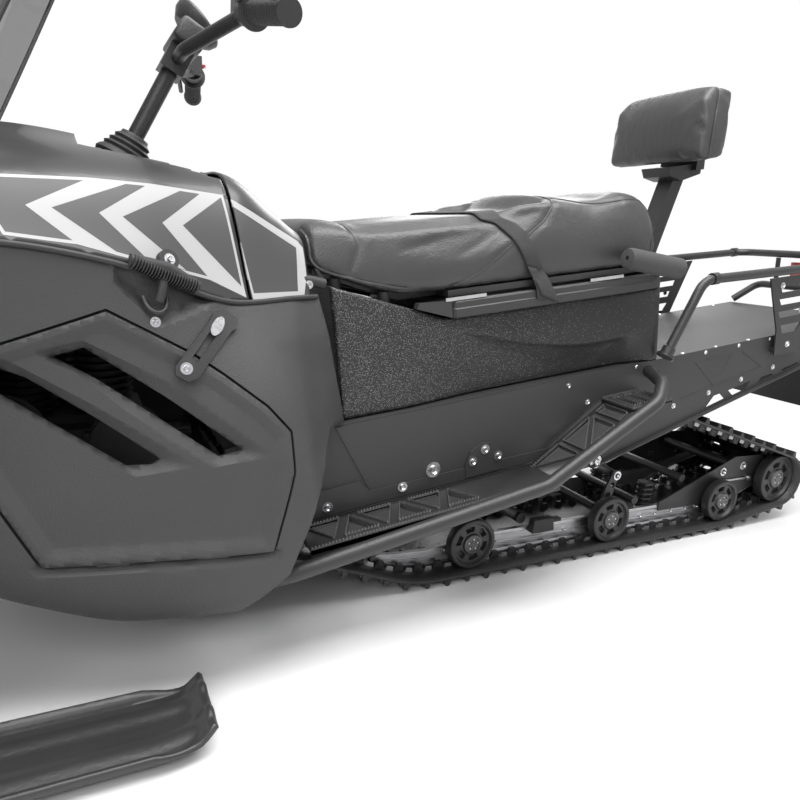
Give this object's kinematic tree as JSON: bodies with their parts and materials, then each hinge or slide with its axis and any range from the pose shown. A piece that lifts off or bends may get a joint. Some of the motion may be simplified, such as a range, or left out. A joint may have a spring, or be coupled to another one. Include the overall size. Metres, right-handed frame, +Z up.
{
  "type": "snowmobile",
  "caption": "Two-up utility snowmobile with a raked tunnel, rubber track, two steered skis, opening hood, side doors, lidded storage box, rear rack and backrest.",
  "frame": {"origin": "middle of the machine's length and width, on the snow under the skis and the track", "axes": "+X forward, +Y the rider's left, +Z up"},
  "size_m": [2.9, 1.04, 1.2702],
  "materials": {
    "steel_sheet": "satin black powder coat",
    "steel_black": "textured black powder coat",
    "box_plastic": "glossy grained black plastic",
    "rim_plastic": "satin black plastic",
    "seat_vinyl": "dark vinyl, soft sheen",
    "strap_webbing": "woven black webbing",
    "bright_steel": "bright zinc plate",
    "body_matte": "matte textured dark plastic",
    "body_gloss": "gloss dark grey",
    "lamp_lens": "clear lens",
    "screen": "smoked clear plastic",
    "engine_metal": "dark cast metal",
    "ski_plastic": "black moulded plastic",
    "grip_rubber": "black rubber",
    "grip_foam": "black foam",
    "track_rubber": "black track rubber",
    "rail_aluminium": "mill aluminium",
    "wheel_rubber": "black rubber on black plastic hub",
    "flap_rubber": "black sheet rubber",
    "tail_lens": "red lens"
  },
  "bodies": {
    "chassis": {"backrest_pad": "seat_vinyl", "backrest_post": "steel_black", "body_hinges": "steel_black", "bogie_wheels": "wheel_rubber", "console": "body_gloss", "drive_axle": "steel_black", "engine_block": "engine_metal", "front_arm": "steel_black", "front_frame": "steel_black", "grip_tube": "steel_black", "hitch": "steel_black", "lower_body": "body_matte", "passenger_grips": "grip_foam", "rack_plates": "steel_black", "rack_rail": "steel_black", "rail_braces": "steel_black", "rear_arm": "steel_black", "rear_bumper": "steel_black", "rear_idlers": "wheel_rubber", "running_boards": "steel_black", "seat_hardware": "bright_steel", "seat_rim": "rim_plastic", "side_plates": "steel_sheet", "side_tubes": "steel_black", "skid_axles": "steel_black", "slide_rails": "rail_aluminium", "snow_flap": "flap_rubber", "springs": "steel_black", "storage_box": "box_plastic", "strut_housings": "steel_black", "tail_lamp": "tail_lens", "track": "track_rubber", "tunnel": "steel_sheet", "wheel_brackets": "steel_black"},
    "handlebar": {"handlebar": "steel_black", "bar_grips": "grip_rubber", "bar_pad": "rim_plastic"},
    "ski_left": {"ski_left": "ski_plastic", "spindle_left": "steel_black", "ski_loop_left": "steel_black"},
    "ski_right": {"ski_right": "ski_plastic", "spindle_right": "steel_black", "ski_loop_right": "steel_black"},
    "hood": {"hood": "body_gloss", "windshield": "screen", "headlamps": "lamp_lens"},
    "door_left": {"door_left": "body_matte"},
    "door_right": {"door_right": "body_matte"},
    "seat": {"seat": "seat_vinyl", "seat_pan": "rim_plastic"}
  },
  "joints": [
    {"name": "steering", "type": "hinge", "parent": "chassis", "child": "handlebar", "pos_m": [0.505, 0, 0.88], "axis": [-0.4695, 0, 0.8829], "range_deg": [-35, 35]},
    {"name": "ski_left_steer", "type": "hinge", "parent": "chassis", "child": "ski_left", "pos_m": [0.95, 0.44, 0.118], "axis": [-0.2079, 0, 0.9781], "range_deg": [-30, 30]},
    {"name": "ski_right_steer", "type": "hinge", "parent": "chassis", "child": "ski_right", "pos_m": [0.95, -0.44, 0.118], "axis": [-0.2079, 0, 0.9781], "range_deg": [-30, 30]},
    {"name": "hood_hinge", "type": "hinge", "parent": "chassis", "child": "hood", "pos_m": [1.148, 0, 0.505], "axis": [0, 1, 0], "range_deg": [0, 55]},
    {"name": "door_left_hinge", "type": "hinge", "parent": "chassis", "child": "door_left", "pos_m": [0.52, 0.3735, 0.252], "axis": [0.995, -0.0896, 0.0433], "range_deg": [-80, 0]},
    {"name": "door_right_hinge", "type": "hinge", "parent": "chassis", "child": "door_right", "pos_m": [0.52, -0.3735, 0.252], "axis": [0.995, 0.0896, 0.0433], "range_deg": [0, 80]},
    {"name": "seat_hinge", "type": "hinge", "parent": "chassis", "child": "seat", "pos_m": [-0.58438, 0, 0.70524], "axis": [0, -1, 0], "range_deg": [0, 70]}
  ],
  "couplings": [
    {"joint": "ski_left_steer", "follows": "steering", "ratio": 0.8},
    {"joint": "ski_right_steer", "follows": "steering", "ratio": 0.8}
  ]
}
